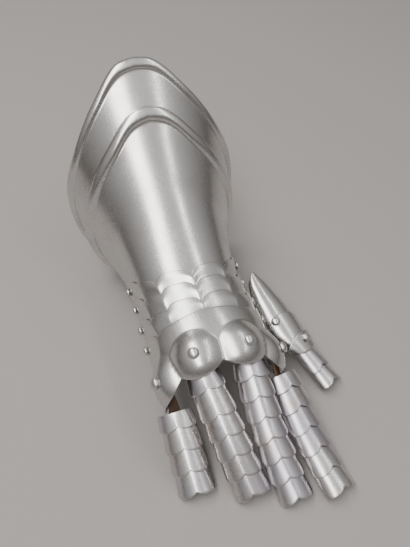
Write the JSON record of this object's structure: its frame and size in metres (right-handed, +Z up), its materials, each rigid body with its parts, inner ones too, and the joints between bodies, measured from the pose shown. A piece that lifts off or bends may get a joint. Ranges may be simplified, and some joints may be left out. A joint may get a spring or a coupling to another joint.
{
  "type": "armoured gauntlet",
  "caption": "Steel plate gauntlet for a right hand: flared cuff, jointed wrist lames, embossed knuckle plate and overlapping finger and thumb scales.",
  "frame": {"origin": "middle of the bottom of the box round the gauntlet, on the surface it lies on", "axes": "+X toward the thumb, +Y from the fingertips to the mouth of the cuff, +Z up through the back of the hand"},
  "size_m": [0.1624, 0.295, 0.1666],
  "materials": {
    "polished_steel": "satin polish with fine brushing and light stains",
    "dull_steel": "duller satin with warm and lavender tarnish",
    "rivet_steel": "satin polish",
    "brown_leather": "plain, matt"
  },
  "bodies": {
    "cuff": {"cuff_rear_plate": "polished_steel", "cuff_main": "polished_steel", "rivet_a_left": "rivet_steel", "rivet_a_right": "rivet_steel", "rivet_cuff_left": "rivet_steel", "rivet_cuff_right": "rivet_steel"},
    "lame_a": {"lame_a": "polished_steel", "rivet_b_left": "rivet_steel", "rivet_b_right": "rivet_steel"},
    "lame_b": {"lame_b": "polished_steel", "rivet_c_left": "rivet_steel", "rivet_c_right": "rivet_steel"},
    "lame_c": {"lame_c": "polished_steel", "rivet_hand_left": "rivet_steel", "rivet_hand_right": "rivet_steel"},
    "hand": {"metacarpal_plate": "polished_steel", "rivet_knuckle_little": "rivet_steel", "rivet_knuckle_ring": "rivet_steel", "rivet_knuckle_middle": "rivet_steel", "rivet_knuckle_index": "rivet_steel", "little_scale_1": "dull_steel", "little_scale_2": "dull_steel", "little_scale_3": "dull_steel", "little_scale_4": "dull_steel", "ring_scale_1": "dull_steel", "ring_scale_2": "dull_steel", "ring_scale_3": "dull_steel", "ring_scale_4": "dull_steel", "ring_scale_5": "dull_steel", "ring_scale_6": "dull_steel", "middle_scale_1": "dull_steel", "middle_scale_2": "dull_steel", "middle_scale_3": "dull_steel", "middle_scale_4": "dull_steel", "middle_scale_5": "dull_steel", "middle_scale_6": "dull_steel", "middle_scale_7": "dull_steel", "index_scale_1": "dull_steel", "index_scale_2": "dull_steel", "index_scale_3": "dull_steel", "index_scale_4": "dull_steel", "index_scale_5": "dull_steel", "index_scale_6": "dull_steel", "thumb_base": "polished_steel", "thumb_knuckle": "polished_steel", "thumb_lens": "polished_steel", "thumb_scale_1": "dull_steel", "thumb_scale_2": "dull_steel", "rivet_thumb_base": "rivet_steel", "rivet_thumb_lens": "rivet_steel", "little_leather": "brown_leather", "ring_leather": "brown_leather", "middle_leather": "brown_leather", "index_leather": "brown_leather", "thumb_leather": "brown_leather", "thumb_tab": "brown_leather"}
  },
  "joints": [
    {"name": "wrist_a", "type": "hinge", "parent": "cuff", "child": "lame_a", "pos_m": [-0.01205, 0.03125, 0.04349], "axis": [1, 0, 0], "range_deg": [-3, 6]},
    {"name": "wrist_b", "type": "hinge", "parent": "lame_a", "child": "lame_b", "pos_m": [-0.01205, 0.01465, 0.04149], "axis": [1, 0, 0], "range_deg": [-3, 6]},
    {"name": "wrist_c", "type": "hinge", "parent": "lame_b", "child": "lame_c", "pos_m": [-0.01205, -0.00395, 0.04099], "axis": [1, 0, 0], "range_deg": [-3, 6]},
    {"name": "wrist_hand", "type": "hinge", "parent": "lame_c", "child": "hand", "pos_m": [-0.01205, -0.02245, 0.04149], "axis": [1, 0, 0], "range_deg": [-3, 6]}
  ]
}
